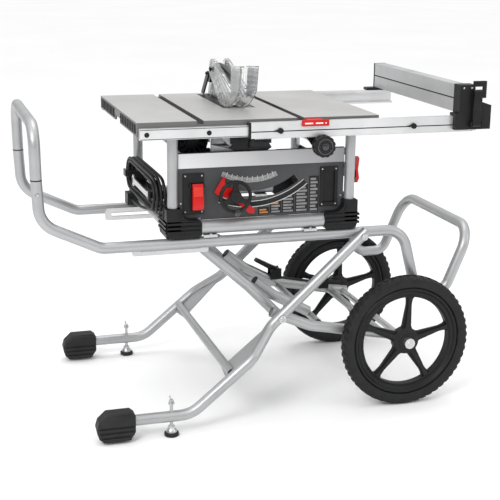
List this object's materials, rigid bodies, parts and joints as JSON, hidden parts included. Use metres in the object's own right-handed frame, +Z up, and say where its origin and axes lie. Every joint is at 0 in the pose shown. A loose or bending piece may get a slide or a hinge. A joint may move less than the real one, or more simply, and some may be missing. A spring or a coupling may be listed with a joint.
{
  "type": "table saw",
  "caption": "Portable table saw with a rip fence and a clear blade guard, on a rolling stand with a push handle and folding cross legs.",
  "frame": {"origin": "on the floor, under the middle of the machine's length and width", "axes": "+Z up, +X along the length from the push handle towards the rest loop, -Y towards the operator"},
  "size_m": [1.342, 0.746, 1.026],
  "materials": {
    "table_paint": "smooth light grey cast and machined surface",
    "dark_paint": "satin black",
    "aluminium": "anodised, fine brushed",
    "red_plastic": "moulded",
    "tube_paint": "silver powder coat",
    "black_plastic": "moulded, fine texture",
    "panel_grey": "satin dark grey",
    "cord_rubber": "black jacket",
    "steel": "zinc plated",
    "clear_plastic": "clear moulded",
    "foot_rubber": "moulded, ribbed",
    "tyre": "treaded"
  },
  "bodies": {
    "machine": {"table": "table_paint", "throat_plate": "dark_paint", "guide_bars": "aluminium", "scale_pointer": "red_plastic", "base_frame": "tube_paint", "corner_bumpers": "black_plastic", "front_panel": "panel_grey", "panel_plates": "black_plastic", "under_table_brackets": "dark_paint", "side_brackets": "dark_paint", "stored_tools": "red_plastic", "cord_gland": "black_plastic", "cord_lead": "cord_rubber", "cord_hank": "cord_rubber", "plug": "black_plastic", "side_rails": "tube_paint", "rest_loop": "tube_paint", "push_handle": "tube_paint", "rail_brackets": "steel"},
    "sliding_rail_set": {"sliding_rails": "aluminium", "rail_fittings": "black_plastic"},
    "rail_pinion": {"pinion_shaft": "steel", "rail_knob": "black_plastic"},
    "rail_lock": {"rail_lock_lever": "black_plastic"},
    "fence": {"fence_beam": "aluminium", "fence_clamps": "black_plastic"},
    "fence_lock": {"fence_lever": "black_plastic"},
    "switch": {"switch_paddle": "red_plastic"},
    "cradle": {"tilt_cradle": "dark_paint", "bevel_pointer": "red_plastic", "riving_knife": "steel", "guard_arm": "dark_paint"},
    "bevel_lock": {"bevel_lock_lever": "red_plastic"},
    "lift_wheel": {"handwheel": "black_plastic"},
    "crank": {"crank_knob": "black_plastic"},
    "screw": {"lift_screw": "steel"},
    "motor_unit": {"motor_housing": "black_plastic", "gearbox": "aluminium"},
    "armature": {"motor_armature": "steel"},
    "blade": {"saw_blade": "steel", "arbor": "steel"},
    "left_shield": {"shield_left": "clear_plastic"},
    "right_shield": {"shield_right": "clear_plastic"},
    "pawls": {"kickback_pawls": "dark_paint"},
    "foot_leg_pair": {"foot_legs": "tube_paint", "rubber_feet": "foot_rubber", "pivot_shaft": "steel"},
    "front_leveller": {"leveller_front": "steel"},
    "rear_leveller": {"leveller_rear": "steel"},
    "wheel_leg_pair": {"wheel_legs": "tube_paint", "axle": "steel", "release_linkage": "steel"},
    "release": {"release_lever": "black_plastic"},
    "brace_pair": {"braces": "tube_paint"},
    "front_wheel": {"wheel_front": "black_plastic", "tyre_front": "tyre"},
    "rear_wheel": {"wheel_rear": "black_plastic", "tyre_rear": "tyre"},
    "front_button": {"snap_button_front": "steel"},
    "rear_button": {"snap_button_rear": "steel"}
  },
  "joints": [
    {"name": "rail_slide", "type": "slide", "parent": "machine", "child": "sliding_rail_set", "axis": [1, 0, 0], "range_m": [-0.3, 0]},
    {"name": "rail_pinion_turn", "type": "hinge", "parent": "machine", "child": "rail_pinion", "pos_m": [0.137, 0, 0.815], "axis": [0, 1, 0], "range_deg": [-720, 0]},
    {"name": "rail_lock_turn", "type": "hinge", "parent": "machine", "child": "rail_lock", "pos_m": [-0.062, -0.3, 0.825], "axis": [0, 0, 1], "range_deg": [-70, 0]},
    {"name": "fence_lift", "type": "slide", "parent": "sliding_rail_set", "child": "fence", "axis": [0, 0, 1], "range_m": [0, 0.12]},
    {"name": "fence_lock_flip", "type": "hinge", "parent": "fence", "child": "fence_lock", "pos_m": [0.6, -0.338, 0.862], "axis": [1, 0, 0], "range_deg": [0, 75]},
    {"name": "switch_press", "type": "hinge", "parent": "machine", "child": "switch", "pos_m": [-0.205, -0.247, 0.702], "axis": [1, 0, 0], "range_deg": [0, 5], "stiffness_Nm_per_rad": 0.6, "springref_deg": -2.86},
    {"name": "bevel_tilt", "type": "hinge", "parent": "machine", "child": "cradle", "pos_m": [-0.045, 0, 0.891], "axis": [0, -1, 0], "range_deg": [0, 47]},
    {"name": "bevel_lock_turn", "type": "hinge", "parent": "cradle", "child": "bevel_lock", "pos_m": [-0.104, -0.25, 0.672], "axis": [0, -1, 0], "range_deg": [0, 50]},
    {"name": "lift_wheel_turn", "type": "hinge", "parent": "cradle", "child": "lift_wheel", "pos_m": [-0.104, -0.28, 0.672], "axis": [0, -1, 0], "range_deg": [0, 2880]},
    {"name": "crank_spin", "type": "hinge", "parent": "lift_wheel", "child": "crank", "pos_m": [-0.104, -0.298, 0.63], "axis": [0, -1, 0], "continuous": true},
    {"name": "screw_turn", "type": "hinge", "parent": "cradle", "child": "screw", "pos_m": [-0.104, -0.186, 0.72], "axis": [0, 0, 1], "range_deg": [-2880, 2880]},
    {"name": "blade_lift", "type": "slide", "parent": "cradle", "child": "motor_unit", "axis": [0, 0, 1], "range_m": [-0.08, 0]},
    {"name": "arbor_spin", "type": "hinge", "parent": "motor_unit", "child": "blade", "pos_m": [-0.045, 0.103, 0.843], "axis": [1, 0, 0], "continuous": true},
    {"name": "armature_spin", "type": "hinge", "parent": "motor_unit", "child": "armature", "pos_m": [-0.198, 0, 0.812], "axis": [0, 1, 0], "continuous": true},
    {"name": "left_shield_lift", "type": "hinge", "parent": "cradle", "child": "left_shield", "pos_m": [-0.066, 0.111, 0.987], "axis": [-1, 0, 0], "range_deg": [0, 40]},
    {"name": "right_shield_lift", "type": "hinge", "parent": "cradle", "child": "right_shield", "pos_m": [-0.024, 0.111, 0.987], "axis": [-1, 0, 0], "range_deg": [0, 40]},
    {"name": "pawl_lift", "type": "hinge", "parent": "cradle", "child": "pawls", "pos_m": [-0.045, 0.19, 0.966], "axis": [1, 0, 0], "range_deg": [0, 30]},
    {"name": "leg_fold", "type": "hinge", "parent": "machine", "child": "foot_leg_pair", "pos_m": [0.284, 0, 0.535], "axis": [0, 1, 0], "range_deg": [0, 33]},
    {"name": "wheel_leg_fold", "type": "hinge", "parent": "foot_leg_pair", "child": "wheel_leg_pair", "pos_m": [0.035, 0, 0.304], "axis": [0, 1, 0], "range_deg": [-20, 0]},
    {"name": "brace_fold", "type": "hinge", "parent": "foot_leg_pair", "child": "brace_pair", "pos_m": [0.035, 0, 0.304], "axis": [0, 1, 0], "range_deg": [-70, 0]},
    {"name": "front_leveller_screw", "type": "slide", "parent": "foot_leg_pair", "child": "front_leveller", "axis": [0, 0, 1], "range_m": [-0.018, 0]},
    {"name": "rear_leveller_screw", "type": "slide", "parent": "foot_leg_pair", "child": "rear_leveller", "axis": [0, 0, 1], "range_m": [-0.018, 0]},
    {"name": "release_lever_turn", "type": "hinge", "parent": "wheel_leg_pair", "child": "release", "pos_m": [0.158, 0.16, 0.316], "axis": [0, 1, 0], "range_deg": [0, 40]},
    {"name": "front_wheel_spin", "type": "hinge", "parent": "wheel_leg_pair", "child": "front_wheel", "pos_m": [0.43, -0.29, 0.203], "axis": [0, 1, 0], "continuous": true},
    {"name": "rear_wheel_spin", "type": "hinge", "parent": "wheel_leg_pair", "child": "rear_wheel", "pos_m": [0.43, 0.29, 0.203], "axis": [0, 1, 0], "continuous": true},
    {"name": "front_button_press", "type": "slide", "parent": "machine", "child": "front_button", "axis": [0, 1, 0], "range_m": [0, 0.005], "stiffness_N_per_m": 1500, "springref_m": -0.002},
    {"name": "rear_button_press", "type": "slide", "parent": "machine", "child": "rear_button", "axis": [0, -1, 0], "range_m": [0, 0.005], "stiffness_N_per_m": 1500, "springref_m": -0.002}
  ],
  "couplings": [
    {"joint": "rail_pinion_turn", "follows": "rail_slide", "rad_per_m": 41.667},
    {"joint": "lift_wheel_turn", "follows": "blade_lift", "rad_per_m": -628},
    {"joint": "screw_turn", "follows": "blade_lift", "rad_per_m": -628},
    {"joint": "armature_spin", "follows": "arbor_spin", "ratio": 9},
    {"joint": "left_shield_lift", "follows": "bevel_tilt", "ratio": 0.38},
    {"joint": "pawl_lift", "follows": "bevel_tilt", "ratio": 0.38},
    {"joint": "wheel_leg_fold", "follows": "leg_fold", "ratio": -0.5455},
    {"joint": "brace_fold", "follows": "leg_fold", "ratio": -2.07}
  ]
}
